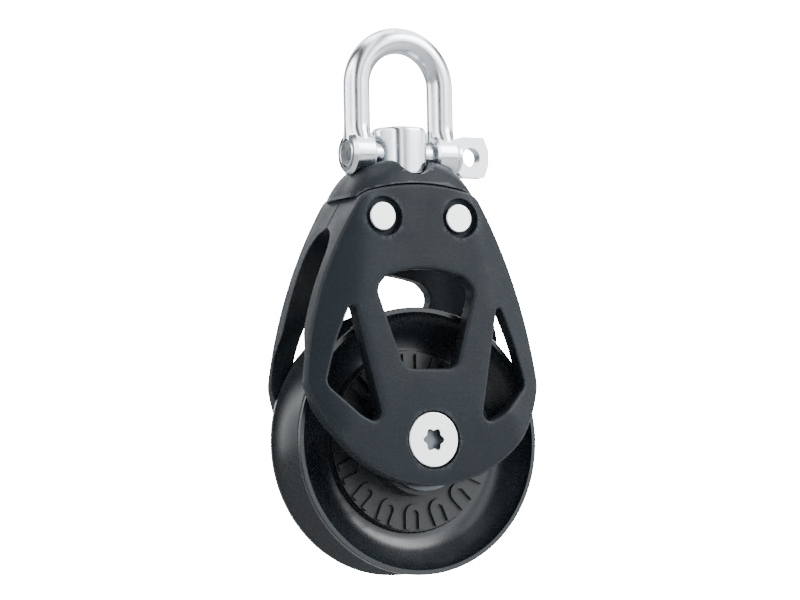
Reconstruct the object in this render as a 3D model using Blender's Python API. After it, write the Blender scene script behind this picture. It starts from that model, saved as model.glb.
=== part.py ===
"""Single sheave block with a bow shackle.

The object hangs from the inner crown of its shackle bow, and that point is the origin. +Z is up,
the axle lies along Y, and the shackle pin along X. Dimensions below are millimetres, and every
mesh is scaled to metres when it becomes an object. Heights named ..._Z are above the axle.
"""

import math

import bmesh
import bpy
from mathutils import Matrix, Vector
from mathutils.geometry import delaunay_2d_cdt

MM = 0.001
GAP = 0.3
# How far a cutting shape goes past any piece it cuts
REACH = 20

# Overall heights
HANG_ABOVE_AXLE = 87.8
PIN_Z = 64.8

# Sheave
SHEAVE_R = 30.0
SHEAVE_HALF_WIDTH = 7.5
GROOVE_BOTTOM_R = 24.3
HUB_R = 10.8
HUB_HALF = 6.2
WEB_HALF = 3.0
WEB_R = 20.2
BORE_R = 5.85
SHEAVE_SEGMENTS = 42

# Bearing
BALL_R = 1.75
BALL_CIRCLE_R = 9.0
BALL_Y = 7.2
BALLS_PER_SIDE = 12
RACE_HALF = (9.1, 10.0)
TUBE_R = 4.3
TUBE_BORE_R = 3.35
TUBE_HALF = 12.4
RACE_R = 11.2
RACE_BORE_R = 4.6
SLEEVE_R = 5.7
RETAINER_R = 20.0
RETAINER_HALF = (3.2, 3.9)
ARCH_COUNT = 16
ARCH_TOP = 4.6

# Cheeks
CHEEK_HALF_WIDTH = 29.2
CORNER_R = 8.0
LOWER_R = 30.3
LOWER_CENTRE_Z = 20.1
SIDE_R = 90.0
SIDE_LEAN = 6.0
SHOULDER = (14.9, 54.0)
TOP_APEX_Z = 57.3
TOP_R = 45.7
TOP_HALF_WIDTH = 12.2
BOSS_FACE = 14.4
CHEEK_THICKNESS = 3.9
SHEAVE_CLEARANCE = 7.9
CLEAR_R = 34.0
HUB_INNER = 10.2
HUB_FLAT_R = 12.4
ARCH_START_Z = 40.0
ARCH_HEIGHT = 7.5
PARTING_HALF = 0.05
EDGE_ROUND = 0.75

# Head, tongue and post
TONGUE_HALF_X = 13.1
TONGUE_HALF_Y = 5.0
TONGUE_BOTTOM_Z = 43.2
NUT_SLOT_HALF = 5.4
NUT_SLOT_TOP_Z = 50.6
HEAD_TOP_Z = 62.9
TONGUE_TOP_Z = 58.6
TONGUE_TOP_TAPER = 0.82
HEAD_SEAT_HALF_X = 18.0
HEAD_SEAT_BOTTOM_Z = 50.0
# Height, half width, half depth and squareness of the head at each level
HEAD_LEVELS = [
    (52.0, 16.6, 10.7, 5.0), (55.4, 15.2, 10.4, 4.8), (58.1, 13.7, 9.8, 4.2), (59.7, 12.5, 9.3, 3.7),
    (61.1, 11.1, 8.7, 3.1), (62.0, 9.9, 8.2, 2.6), (62.6, 8.6, 7.7, 2.2), (HEAD_TOP_Z, 7.6, 7.2, 2.0),
]
POST_BOTTOM_Z = 59.4
POST_TOP_Z = 71.1
POST_FLAT = 6.2
POST_CHAMFER = 6.42
SHANK_R = 3.0
NOTCH_R = 5.2

# Shackle
BAR_R = 3.0
LEG_X = 10.6
EAR_INNER_X = 7.8
EAR_OUTER_X = 13.4
EAR_R = 4.9
PIN_R = 3.0
TAB_TIP_X = 22.4
TAB_HALF_HEIGHT = 4.65
TAB_HALF_THICKNESS = 1.4
TAB_HOLE_R = 2.15
TAB_HOLE_X = 17.9

# Fasteners
RIVET_X = 9.6
RIVET_Z = 49.8
RIVET_HEAD_R = 3.45
RIVET_POCKET_R = 4.5
RIVET_FACE = 10.2
RIVET_POCKET_FLOOR = 9.2
RIVET_SHANK_R = 1.8
SCREW_HEAD_R = 6.15
SCREW_POCKET_R = 6.5
SCREW_FACE = 14.2
SCREW_POCKET_FLOOR = 12.6
SCREW_SHANK_R = 3.2
SOCKET_R = 2.6

AXIS_ROTATION = {
    "X": Matrix.Rotation(math.radians(90), 4, "Y"),
    "Y": Matrix.Rotation(math.radians(-90), 4, "X"),
    "Z": Matrix.Identity(4),
}


def clear_scene():
    for obj in list(bpy.data.objects):
        bpy.data.objects.remove(obj, do_unlink=True)


def principled(name, colour, roughness, metallic):
    material = bpy.data.materials.new(name)
    material.use_nodes = True
    shader = material.node_tree.nodes["Principled BSDF"]
    shader.inputs["Base Color"].default_value = (*colour, 1.0)
    shader.inputs["Roughness"].default_value = roughness
    shader.inputs["Metallic"].default_value = metallic
    material.diffuse_color = (*colour, 1.0)
    return material


def add_empty(name, parent, height):
    """An empty on a joint's axis, its height in millimetres above its parent."""
    empty = bpy.data.objects.new(name, None)
    bpy.context.scene.collection.objects.link(empty)
    empty.parent = parent
    empty.location.z = height * MM
    return empty


def add_object(name, shape, material, parent, location=(0, 0, 0), sharp_angle=32):
    """Turns a bmesh in millimetres into a smooth-shaded object under its parent."""
    bmesh.ops.recalc_face_normals(shape, faces=shape.faces)
    shape.transform(Matrix.Scale(MM, 4))
    mesh = bpy.data.meshes.new(name)
    shape.to_mesh(mesh)
    shape.free()
    mesh.materials.append(material)
    mesh.shade_smooth()
    mesh.set_sharp_from_angle(angle=math.radians(sharp_angle))
    obj = bpy.data.objects.new(name, mesh)
    bpy.context.scene.collection.objects.link(obj)
    obj.parent = parent
    obj.location = Vector(location) * MM
    return obj


def combine(target, operation, name, shape, location=(0, 0, 0)):
    """Cuts a helper shape from the target, or joins it on, with an exact Boolean."""
    helper = add_object(name, shape, target.data.materials[0], target.parent, location)
    helper.hide_render = True
    helper.display_type = "WIRE"
    modifier = target.modifiers.new(name, "BOOLEAN")
    modifier.operation = operation
    modifier.solver = "EXACT"
    modifier.object = helper


def turned(profile, segments, axis="Y"):
    """A solid of revolution: profile is a loop of (radius, height along the axis)."""
    shape = bmesh.new()
    rings = []
    for radius, height in profile:
        count = segments if radius > 0 else 1
        angles = [2 * math.pi * k / segments for k in range(count)]
        rings.append([
            shape.verts.new((radius * math.cos(a), radius * math.sin(a), height)) for a in angles
        ])
    closed = all(radius > 0 for radius, _ in profile)
    pairs = list(zip(rings, rings[1:]))
    if closed:
        pairs.append((rings[-1], rings[0]))
    for low, high in pairs:
        for k in range(segments):
            n = (k + 1) % segments
            corners = [low[k % len(low)], low[n % len(low)], high[n % len(high)], high[k % len(high)]]
            shape.faces.new(list(dict.fromkeys(corners)))
    shape.transform(AXIS_ROTATION[axis])
    return shape


def disc(radius, low, high, segments, axis="Y"):
    return turned([(0, low), (radius, low), (radius, high), (0, high)], segments, axis)


def prism(outline, low, high, axis="Y"):
    """Extrudes an outline of (across, up) points along Y, or of (x, y) points along Z."""
    shape = bmesh.new()

    def ring(along):
        if axis == "Z":
            return [shape.verts.new((u, v, along)) for u, v in outline]
        return [shape.verts.new((u, along, v)) for u, v in outline]

    first, second = ring(low), ring(high)
    shape.faces.new(first)
    shape.faces.new(second[::-1])
    for k in range(len(outline)):
        n = (k + 1) % len(outline)
        shape.faces.new((first[k], second[k], second[n], first[n]))
    return shape


def box(low, high):
    (x0, y0, z0), (x1, y1, z1) = low, high
    return prism([(x0, z0), (x1, z0), (x1, z1), (x0, z1)], y0, y1)


def arc(centre, radius, start, end, count):
    """count + 1 points along an arc, its angles in degrees."""
    angles = [math.radians(start + (end - start) * k / count) for k in range(count + 1)]
    return [(centre[0] + radius * math.cos(a), centre[1] + radius * math.sin(a)) for a in angles]


def rounded_polygon(corners, step=24):
    """A closed outline from (x, z, corner radius), with an arc point about every step degrees."""
    outline = []
    for k, (x, z, radius) in enumerate(corners):
        here = Vector((x, z))
        before = (Vector(corners[k - 1][:2]) - here).normalized()
        after = (Vector(corners[(k + 1) % len(corners)][:2]) - here).normalized()
        turn = math.pi - before.angle(after)
        reach = radius * math.tan(turn / 2)
        centre = here + (before + after).normalized() * math.hypot(radius, reach)
        start = here + before * reach - centre
        end = here + after * reach - centre
        count = max(1, round(math.degrees(turn) / step))
        sweep = start.angle_signed(end)
        for i in range(count + 1):
            a = -sweep * i / count
            turned_arm = Vector((
                start.x * math.cos(a) - start.y * math.sin(a),
                start.x * math.sin(a) + start.y * math.cos(a),
            ))
            outline.append(tuple(centre + turned_arm))
    return outline


def mirrored(half):
    """Completes an outline whose right half runs from the bottom to the top."""
    return half + [(-x, z) for x, z in half[::-1] if abs(x) > 1e-6]


def top_edge_z(x):
    return TOP_APEX_Z - TOP_R + math.sqrt(TOP_R**2 - x**2)


def cheek_outline():
    corner_x = CHEEK_HALF_WIDTH - CORNER_R
    reach = LOWER_R - CORNER_R
    drop = math.sqrt(reach**2 - corner_x**2)
    corner = (corner_x, LOWER_CENTRE_Z - drop)
    meet = -math.degrees(math.asin(drop / reach))
    lean = math.radians(SIDE_LEAN)
    side_reach = SIDE_R - CORNER_R
    side = (corner[0] - side_reach * math.cos(lean), corner[1] - side_reach * math.sin(lean))
    side_end = math.degrees(math.asin((SHOULDER[1] - side[1]) / SIDE_R))
    half = arc((0, LOWER_CENTRE_Z), LOWER_R, -90, meet, 11)
    half += arc(corner, CORNER_R, meet, SIDE_LEAN, 3)[1:]
    half += arc(side, SIDE_R, SIDE_LEAN, side_end, 10)[1:]
    start = Vector(half[-1])
    end = Vector((TOP_HALF_WIDTH, top_edge_z(TOP_HALF_WIDTH)))
    bend = Vector((start.x - 0.9, start.y + 1.1))
    for t in (0.33, 0.67, 1.0):
        half.append(tuple(start * (1 - t) ** 2 + bend * 2 * t * (1 - t) + end * t**2))
    for k in range(1, 5):
        x = TOP_HALF_WIDTH * (1 - k / 4)
        half.append((x, top_edge_z(x)))
    return mirrored(half)


def central_window():
    right = [(6.5, 15.8, 3.2), (12.3, 33.6, 3.0), (9.6, 36.6, 4.0), (0, 38.9, 24.0)]
    left = [(-x, z, r) for x, z, r in right[-2::-1]]
    return rounded_polygon(right + left)


def side_window(side):
    corners = [
        (12.2, 3.2, 1.8), (17.8, 5.3, 12.0), (25.0, 12.3, 2.6), (22.4, 21.6, 22.0), (18.2, 31.4, 0.8)
    ]
    outline = rounded_polygon(corners)
    return outline if side > 0 else [(-x, z) for x, z in outline[::-1]]


def outer_face(x, z):
    """Distance of the cheek's outer face from the middle plane of the block."""
    centre = min(BOSS_FACE, 15.0 - 0.085 * z)
    flank = 23.6 - 0.4 * abs(x) - 0.14 * z
    return min(centre, flank)


def inner_face(x, z):
    """Distance of the cheek's inner face, which hugs the sheave and closes in above it."""
    radius = math.hypot(x, z)
    depth = outer_face(x, z) - CHEEK_THICKNESS
    if radius < CLEAR_R + 4:
        depth = max(depth, min(SHEAVE_CLEARANCE, SHEAVE_CLEARANCE - (radius - CLEAR_R)))
    depth = max(depth, min(HUB_INNER, HUB_INNER - 2 * (radius - HUB_FLAT_R)))
    rise = (z - ARCH_START_Z) / ARCH_HEIGHT
    if rise > 0:
        depth *= math.sqrt(max(0.0, 1 - rise**2))
    return max(depth, PARTING_HALF)


def inset(outline, distance):
    """Moves each point of a counter-clockwise outline to its left by a distance."""
    moved = []
    for k, point in enumerate(outline):
        here = Vector(point)
        before = (here - Vector(outline[k - 1])).normalized()
        after = (Vector(outline[(k + 1) % len(outline)]) - here).normalized()
        along = (before + after).normalized()
        moved.append((here.x - along.y * distance, here.y + along.x * distance))
    return moved


def inside(point, outline):
    x, z = point
    found = False
    for (x0, z0), (x1, z1) in zip(outline, outline[1:] + outline[:1]):
        if (z0 > z) != (z1 > z) and x < x0 + (z - z0) * (x1 - x0) / (z1 - z0):
            found = not found
    return found


def in_region(point, outer, holes):
    return inside(point, outer) and not any(inside(point, hole) for hole in holes)


def cap_points(outer, holes, margin, spacing, hub_radii):
    """Points inside the region for a curved cap: a grid, and rings around the hub."""
    kept_outer = inset(outer, margin)
    kept_holes = [inset(hole, -margin) for hole in holes]
    points = []
    rows = int(80 / spacing)
    for row in range(rows):
        z = -12 + row * spacing
        for column in range(-12, 13):
            x = (column + 0.5 * (row % 2)) * spacing
            clear = all(abs(math.hypot(x, z) - radius) > spacing / 2 for radius in hub_radii)
            if clear and in_region((x, z), kept_outer, kept_holes):
                points.append((x, z))
    for radius in hub_radii:
        ring = arc((0, 0), radius, 0, 345, 23)
        points += [p for p in ring if in_region(p, kept_outer, kept_holes)]
    return points


def shell(outer, holes, side):
    """A cheek: both faces are height fields, joined around the rim and around each hole."""
    shape = bmesh.new()
    loops = [(outer, 1)] + [(hole, -1) for hole in holes]
    small = EDGE_ROUND * 0.4
    levels = [(EDGE_ROUND, 0, outer_face), (0, -EDGE_ROUND, outer_face), (0, small, inner_face),
              (small, 0, inner_face)]
    faces_of_caps = {0: [], 3: []}
    for outline, sign in loops:
        rings = []
        for into, shift, face in levels:
            ring = inset(outline, into * sign)
            rings.append([shape.verts.new((x, side * (face(x, z) + shift), z)) for x, z in ring])
        for cap in faces_of_caps:
            faces_of_caps[cap].append(rings[cap])
        for low, high in zip(rings, rings[1:]):
            for k in range(len(low)):
                shape.faces.new((low[k - 1], low[k], high[k], high[k - 1]))
    for cap, face, spacing, radii in ((0, outer_face, 5.5, ()), (3, inner_face, 4.4, (12.4, 13.8))):
        rings = faces_of_caps[cap]
        verts = [v for ring in rings for v in ring]
        flat = [[(v.co.x, v.co.z) for v in ring] for ring in rings]
        extra = cap_points(flat[0], flat[1:], 1.3, spacing, radii)
        verts += [shape.verts.new((x, side * face(x, z), z)) for x, z in extra]
        edges, start = [], 0
        for ring in rings:
            edges += [(start + k, start + (k + 1) % len(ring)) for k in range(len(ring))]
            start += len(ring)
        points = [Vector((v.co.x, v.co.z)) for v in verts]
        result = delaunay_2d_cdt(points, edges, [], 0, 1e-6, True)
        for triangle in result[2]:
            ids = [result[3][k][0] for k in triangle]
            middle = sum((points[k] for k in ids), Vector((0, 0))) / 3
            if in_region(middle, flat[0], flat[1:]):
                shape.faces.new([verts[k] for k in ids])
    return shape


def build_cheek(name, side, material, parent):
    holes = [central_window(), side_window(-1), side_window(1)]
    cheek = add_object(name, shell(cheek_outline(), holes, side), material, parent)
    axle_hole = turned([
        (0, 5), (TUBE_R + 0.2, 5), (TUBE_R + 0.2, SCREW_POCKET_FLOOR),
        (SCREW_POCKET_R, SCREW_POCKET_FLOOR), (SCREW_POCKET_R, 18), (0, 18),
    ], 30)
    rivet_hole = [
        (0, -2), (RIVET_SHANK_R + 0.2, -2), (RIVET_SHANK_R + 0.2, RIVET_POCKET_FLOOR),
        (RIVET_POCKET_R, RIVET_POCKET_FLOOR), (RIVET_POCKET_R, 18), (0, 18),
    ]
    axle_hole.transform(Matrix.Scale(side, 4, (0, 1, 0)))
    combine(cheek, "DIFFERENCE", f"{name}_axle_hole", axle_hole)
    for label, x in (("left", -RIVET_X), ("right", RIVET_X)):
        hole = turned(rivet_hole, 22)
        hole.transform(Matrix.Translation((x, 0, RIVET_Z)) @ Matrix.Scale(side, 4, (0, 1, 0)))
        combine(cheek, "DIFFERENCE", f"{name}_rivet_hole_{label}", hole)
    reach = TONGUE_HALF_Y + 0.2
    pocket = box(
        (-TONGUE_HALF_X - 0.2, -reach, ARCH_START_Z), (TONGUE_HALF_X + 0.2, reach, HEAD_TOP_Z)
    )
    combine(cheek, "DIFFERENCE", f"{name}_tongue_pocket", pocket)
    return cheek


def head_section(z, half_x, half_y, power, count=24):
    """One level of the head: a superellipse."""
    section = []
    for k in range(count):
        a = 2 * math.pi * (k + 0.5) / count
        c, s = math.cos(a), math.sin(a)
        section.append((
            half_x * math.copysign(abs(c) ** (2 / power), c),
            half_y * math.copysign(abs(s) ** (2 / power), s),
            z,
        ))
    return section


def build_head(material, parent):
    shape = bmesh.new()
    rings = [[shape.verts.new(p) for p in head_section(*level)] for level in HEAD_LEVELS]
    for low, high in zip(rings, rings[1:]):
        for k in range(len(low)):
            shape.faces.new((low[k - 1], low[k], high[k], high[k - 1]))
    shape.faces.new(rings[0])
    shape.faces.new(rings[-1])
    head = add_object("forged_head", shape, material, parent)

    half = [(HEAD_SEAT_HALF_X, HEAD_SEAT_BOTTOM_Z), (HEAD_SEAT_HALF_X, SHOULDER[1] + GAP)]
    half += [(x, z + GAP) for x, z in cheek_outline() if x > -1e-6 and z > SHOULDER[1] - 0.01]
    left = [(-x, z) for x, z in half[::-1] if x > 1e-6]
    combine(head, "DIFFERENCE", "head_seat", prism(half + left, -REACH, REACH))

    tongue = rounded_polygon([
        (-TONGUE_HALF_X, 60.0, 0.5), (-TONGUE_HALF_X, TONGUE_BOTTOM_Z, 2.0),
        (-NUT_SLOT_HALF - 0.6, TONGUE_BOTTOM_Z, 1.0), (-NUT_SLOT_HALF, NUT_SLOT_TOP_Z, 1.2),
        (NUT_SLOT_HALF, NUT_SLOT_TOP_Z, 1.2), (NUT_SLOT_HALF + 0.6, TONGUE_BOTTOM_Z, 1.0),
        (TONGUE_HALF_X, TONGUE_BOTTOM_Z, 2.0), (TONGUE_HALF_X, 60.0, 0.5),
    ], 45)
    tongue = [(x, min(z, TONGUE_TOP_Z)) for x, z in tongue]
    tongue = [(x * TONGUE_TOP_TAPER if z >= TONGUE_TOP_Z else x, z) for x, z in tongue]
    combine(head, "UNION", "head_tongue", prism(tongue, -TONGUE_HALF_Y, TONGUE_HALF_Y))

    post_bore = turned([
        (0, 40), (SHANK_R + 0.2, 40), (SHANK_R + 0.2, POST_BOTTOM_Z - 0.2),
        (POST_CHAMFER + 0.5, POST_BOTTOM_Z - 0.2), (POST_CHAMFER + 0.5, 75), (0, 75),
    ], 36, "Z")
    combine(head, "DIFFERENCE", "head_post_bore", post_bore)
    for axis in "XY":
        notch = disc(NOTCH_R, -REACH, REACH, 40, axis)
        notch.transform(Matrix.Translation((0, 0, PIN_Z)))
        combine(head, "DIFFERENCE", f"head_notch_{axis.lower()}", notch)
    for label, x in (("left", -RIVET_X), ("right", RIVET_X)):
        hole = disc(RIVET_SHANK_R + 0.2, -12, 12, 24)
        hole.transform(Matrix.Translation((x, 0, RIVET_Z)))
        combine(head, "DIFFERENCE", f"head_rivet_hole_{label}", hole)
    return head


def build_post(steel, parent):
    """A six-sided post with broken edges, on a shank that a nut holds in the tongue."""
    corners = []
    for k in range(12):
        flat, chamfer = (POST_FLAT, POST_CHAMFER) if k % 2 == 0 else (POST_CHAMFER, POST_FLAT)
        a, b = math.radians(30 * k - 90), math.radians(30 * (k + 1) - 90)
        # The corner lies on both neighbouring flats.
        det = math.cos(a) * math.sin(b) - math.sin(a) * math.cos(b)
        x = (flat * math.sin(b) - chamfer * math.sin(a)) / det
        y = (chamfer * math.cos(a) - flat * math.cos(b)) / det
        corners.append((x, y))
    shape = bmesh.new()
    levels = [(0.9, POST_BOTTOM_Z), (1.0, POST_BOTTOM_Z + 0.7), (1.0, POST_TOP_Z - 1.3),
              (0.9, POST_TOP_Z - 0.4), (0.5, POST_TOP_Z)]
    rings = [[shape.verts.new((x * s, y * s, z)) for x, y in corners] for s, z in levels]
    for low, high in zip(rings, rings[1:]):
        for k in range(12):
            shape.faces.new((low[k - 1], low[k], high[k], high[k - 1]))
    shape.faces.new(rings[0])
    shape.faces.new(rings[-1])
    shape.transform(Matrix.Translation((0, 0, -PIN_Z)))
    post = add_object("head_post", shape, steel, parent)
    shank = disc(SHANK_R, 44.6, POST_BOTTOM_Z + 1, 24, "Z")
    shank.transform(Matrix.Translation((0, 0, -PIN_Z)))
    combine(post, "UNION", "post_shank", shank)
    combine(post, "DIFFERENCE", "post_pin_hole", disc(PIN_R + 0.15, -REACH, REACH, 32, "X"))

    washer = turned([(SHANK_R + 0.15, 49.5), (4.7, 49.5), (4.7, 50.4), (SHANK_R + 0.15, 50.4)], 28, "Z")
    nut = turned([
        (SHANK_R + 0.15, 45.2), (4.1, 45.2), (4.7, 45.8), (4.7, 48.8), (4.1, 49.35), (SHANK_R + 0.15, 49.35),
    ], 24, "Z")
    for name, piece in (("post_washer", washer), ("post_nut", nut)):
        piece.transform(Matrix.Translation((0, 0, -PIN_Z)))
        add_object(name, piece, steel, parent)


def sheave_profile():
    """The sheave's section as a closed loop of (radius, y), from the bore round to the bore."""
    groove_r = BALL_R + 0.12
    reach = math.degrees(math.asin((BALL_Y - HUB_HALF) / groove_r))
    race = arc((BALL_CIRCLE_R, BALL_Y), groove_r, 180 + reach, 360 - reach, 3)
    half = [(BORE_R, HUB_HALF)] + race + [(HUB_R, HUB_HALF), (HUB_R, WEB_HALF), (WEB_R, WEB_HALF),
            (20.6, 2.2), (22.4, 2.2), (24.6, 3.3), (26.6, 4.9), (28.3, 6.3),
            (28.8, SHEAVE_HALF_WIDTH), (29.7, SHEAVE_HALF_WIDTH), (SHEAVE_R, 7.2), (SHEAVE_R, 6.1)]
    groove = [(28.9, 5.1), (26.6, 3.3), (GROOVE_BOTTOM_R + 0.5, 1.5)]
    half += groove
    other = [(r, -y) for r, y in half[::-1]]
    return half + [(GROOVE_BOTTOM_R, 0)] + other


def retainer_arches(side):
    """Sixteen raised arches, their round ends towards the hub."""
    centre, outer, inner, foot = 16.3, 2.32, 0.95, 19.6
    outline = arc((centre, 0), outer, 90, 270, 4) + [(foot, -outer), (foot, -inner)]
    outline += arc((centre, 0), inner, 270, 90, 2) + [(foot, inner), (foot, outer)]
    shape = bmesh.new()
    for k in range(ARCH_COUNT):
        piece = prism(outline, side * (RETAINER_HALF[0] + 0.3), side * ARCH_TOP)
        bmesh.ops.recalc_face_normals(piece, faces=piece.faces)
        piece.transform(Matrix.Rotation(2 * math.pi * k / ARCH_COUNT, 4, "Y"))
        mesh = bpy.data.meshes.new("arch")
        piece.to_mesh(mesh)
        piece.free()
        shape.from_mesh(mesh)
        bpy.data.meshes.remove(mesh)
    return shape


def build_retainer(name, side, material, parent):
    low, high = RETAINER_HALF
    profile = [
        (11.0, low), (RETAINER_R, low), (RETAINER_R, high), (12.2, high), (12.2, 8.85),
        (10.45, 8.85), (10.45, 8.35), (11.0, 8.35),
    ]
    shape = turned(profile, SHEAVE_SEGMENTS)
    shape.transform(Matrix.Scale(side, 4, (0, 1, 0)))
    ring = add_object(name, shape, material, parent)
    combine(ring, "UNION", f"{name}_arches", retainer_arches(side))


def build_bearings(steel, plastic, composite, frame_axis, sheave_axis):
    tube = turned([(TUBE_BORE_R, -TUBE_HALF), (TUBE_R, -TUBE_HALF), (TUBE_R, TUBE_HALF), (TUBE_BORE_R, TUBE_HALF)], 32)
    add_object("axle_tube", tube, steel, frame_axis)
    half = HUB_HALF - 0.1
    sleeve = turned([(TUBE_R + 0.15, -half), (SLEEVE_R, -half), (SLEEVE_R, half), (TUBE_R + 0.15, half)], 32)
    add_object("sleeve_bushing", sleeve, composite, sheave_axis)
    for label, side in (("front", -1), ("back", 1)):
        low, high = RACE_HALF
        race = turned([(RACE_BORE_R, low), (RACE_R, low), (RACE_R, high), (RACE_BORE_R, high)], 36)
        race.transform(Matrix.Scale(side, 4, (0, 1, 0)))
        add_object(f"thrust_race_{label}", race, steel, frame_axis)
        balls = add_empty(f"ball_set_{label}_axis", frame_axis, 0)
        for k in range(BALLS_PER_SIDE):
            ball = bmesh.new()
            bmesh.ops.create_icosphere(ball, subdivisions=2, radius=BALL_R)
            a = 2 * math.pi * k / BALLS_PER_SIDE
            place = (BALL_CIRCLE_R * math.cos(a), side * BALL_Y, BALL_CIRCLE_R * math.sin(a))
            add_object(f"thrust_ball_{label}_{k + 1:02d}", ball, plastic, balls, place, 80)


def build_fasteners(steel, aluminium, parent):
    for label, side in (("front", -1), ("back", 1)):
        shape = turned([
            (0, 3.0), (SCREW_SHANK_R - 0.3, 3.0), (SCREW_SHANK_R, 3.4), (SCREW_SHANK_R, 12.75),
            (SCREW_HEAD_R, 12.75), (SCREW_HEAD_R, SCREW_FACE - 0.2), (SCREW_HEAD_R - 0.2, SCREW_FACE),
            (0, SCREW_FACE),
        ], 30)
        shape.transform(Matrix.Scale(side, 4, (0, 1, 0)))
        screw = add_object(f"axle_screw_{label}", shape, steel, parent)
        lobes = []
        for k in range(24):
            a = 2 * math.pi * k / 24
            reach = SOCKET_R - 0.3 + 0.3 * math.cos(6 * a)
            lobes.append((reach * math.cos(a), reach * math.sin(a)))
        low, high = sorted((side * (SCREW_FACE - 1.9), side * (SCREW_FACE + 1)))
        combine(screw, "DIFFERENCE", f"axle_screw_{label}_socket", prism(lobes, low, high))
    for label, x in (("left", -RIVET_X), ("right", RIVET_X)):
        under = RIVET_POCKET_FLOOR + 0.15
        half = [(0, RIVET_FACE), (RIVET_HEAD_R - 0.2, RIVET_FACE), (RIVET_HEAD_R, RIVET_FACE - 0.2),
                (RIVET_HEAD_R, under), (RIVET_SHANK_R, under)]
        profile = half + [(r, -y) for r, y in half[::-1]]
        add_object(f"head_rivet_{label}", turned(profile, 22), aluminium, parent, (x, 0, RIVET_Z))


def bow_path():
    """Points along the bar's centre line, from the left ear over the crown to the right ear."""
    crown = HANG_ABOVE_AXLE + BAR_R - LEG_X
    legs = [PIN_Z + 0.5, PIN_Z + 4.5, PIN_Z + 9.0]
    left = [(-LEG_X, z) for z in legs]
    return left + arc((0, crown), LEG_X, 180, 0, 12) + [(-x, z) for x, z in left[::-1]]


def build_shackle(steel, root, pin_axis):
    sides = 12
    shape = bmesh.new()
    path = bow_path()
    rings = []
    for k, (x, z) in enumerate(path):
        before = Vector(path[max(k - 1, 0)])
        after = Vector(path[min(k + 1, len(path) - 1)])
        along = (after - before).normalized()
        out = Vector((-along.y, along.x))
        ring = []
        for i in range(sides):
            a = 2 * math.pi * i / sides
            across = BAR_R * math.cos(a)
            ring.append(shape.verts.new((
                x + out.x * across, BAR_R * math.sin(a), z + out.y * across - HANG_ABOVE_AXLE
            )))
        rings.append(ring)
    for low, high in zip(rings, rings[1:]):
        for i in range(sides):
            shape.faces.new((low[i - 1], low[i], high[i], high[i - 1]))
    shape.faces.new(rings[0])
    shape.faces.new(rings[-1])
    bow = add_object("shackle_bow", shape, steel, root)
    pin_height = PIN_Z - HANG_ABOVE_AXLE
    for label, side in (("left", -1), ("right", 1)):
        ear = turned([
            (0, EAR_INNER_X), (EAR_R - 0.5, EAR_INNER_X), (EAR_R, EAR_INNER_X + 0.5),
            (EAR_R, EAR_OUTER_X - 0.8), (EAR_R - 0.8, EAR_OUTER_X), (0, EAR_OUTER_X),
        ], 32, "X")
        ear.transform(Matrix.Translation((0, 0, pin_height)) @ Matrix.Scale(side, 4, (1, 0, 0)))
        combine(bow, "UNION", f"shackle_ear_{label}", ear)
    hole = disc(PIN_R + 0.15, -REACH, REACH, 32, "X")
    hole.transform(Matrix.Translation((0, 0, pin_height)))
    combine(bow, "DIFFERENCE", "shackle_pin_hole", hole)

    collar = EAR_OUTER_X + 0.2
    shape = turned([
        (0, -EAR_OUTER_X), (PIN_R - 0.3, -EAR_OUTER_X), (PIN_R, -EAR_OUTER_X + 0.3),
        (PIN_R, collar), (PIN_R + 0.9, collar), (PIN_R + 0.9, collar + 0.8), (0, collar + 0.8),
    ], 32, "X")
    pin = add_object("shackle_pin", shape, steel, pin_axis)
    root_x = collar + 0.1
    tab = rounded_polygon([
        (root_x, -2.6, 0.5), (root_x + 1.6, -TAB_HALF_HEIGHT, 1.5),
        (TAB_TIP_X - 1.2, -TAB_HALF_HEIGHT, 0.6), (TAB_TIP_X, -1.6, 3.0), (TAB_TIP_X, 1.6, 3.0),
        (TAB_TIP_X - 1.2, TAB_HALF_HEIGHT, 0.6), (root_x + 1.6, TAB_HALF_HEIGHT, 1.5),
        (root_x, 2.6, 0.5),
    ])
    combine(pin, "UNION", "shackle_pin_tab", prism(tab, -TAB_HALF_THICKNESS, TAB_HALF_THICKNESS))
    eye = disc(TAB_HOLE_R, -5, 5, 28)
    eye.transform(Matrix.Translation((TAB_HOLE_X, 0, 0)))
    combine(pin, "DIFFERENCE", "shackle_pin_eye", eye)


def main():
    clear_scene()
    forged = principled("forged_black", (0.055, 0.066, 0.078), 0.42, 0.35)
    moulded = principled("sheave_black", (0.045, 0.052, 0.058), 0.38, 0.0)
    steel = principled("polished_steel", (0.78, 0.79, 0.80), 0.16, 1.0)
    aluminium = principled("bright_rivet", (0.90, 0.91, 0.92), 0.35, 1.0)
    plastic = principled("white_ball", (0.82, 0.82, 0.80), 0.35, 0.0)
    composite = principled("sleeve_composite", (0.20, 0.16, 0.11), 0.55, 0.0)

    root = add_empty("hang_point", None, 0)
    pin_axis = add_empty("pin_axis", root, PIN_Z - HANG_ABOVE_AXLE)
    block_axis = add_empty("block_axis", root, PIN_Z - HANG_ABOVE_AXLE)
    frame_axis = add_empty("frame_axis", block_axis, -PIN_Z)
    sheave_axis = add_empty("sheave_axis", frame_axis, 0)

    build_shackle(steel, root, pin_axis)
    build_post(steel, block_axis)
    build_head(forged, frame_axis)
    build_cheek("front_cheek", -1, forged, frame_axis)
    build_cheek("back_cheek", 1, forged, frame_axis)
    build_fasteners(steel, aluminium, frame_axis)
    add_object("sheave", turned(sheave_profile(), SHEAVE_SEGMENTS), moulded, sheave_axis)
    build_bearings(steel, plastic, composite, frame_axis, sheave_axis)
    build_retainer("ball_retainer_front", -1, moulded, sheave_axis)
    build_retainer("ball_retainer_back", 1, moulded, sheave_axis)


main()
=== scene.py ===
"""The looks of the single sheave block: fine meshes, materials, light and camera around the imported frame."""

import math

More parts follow.
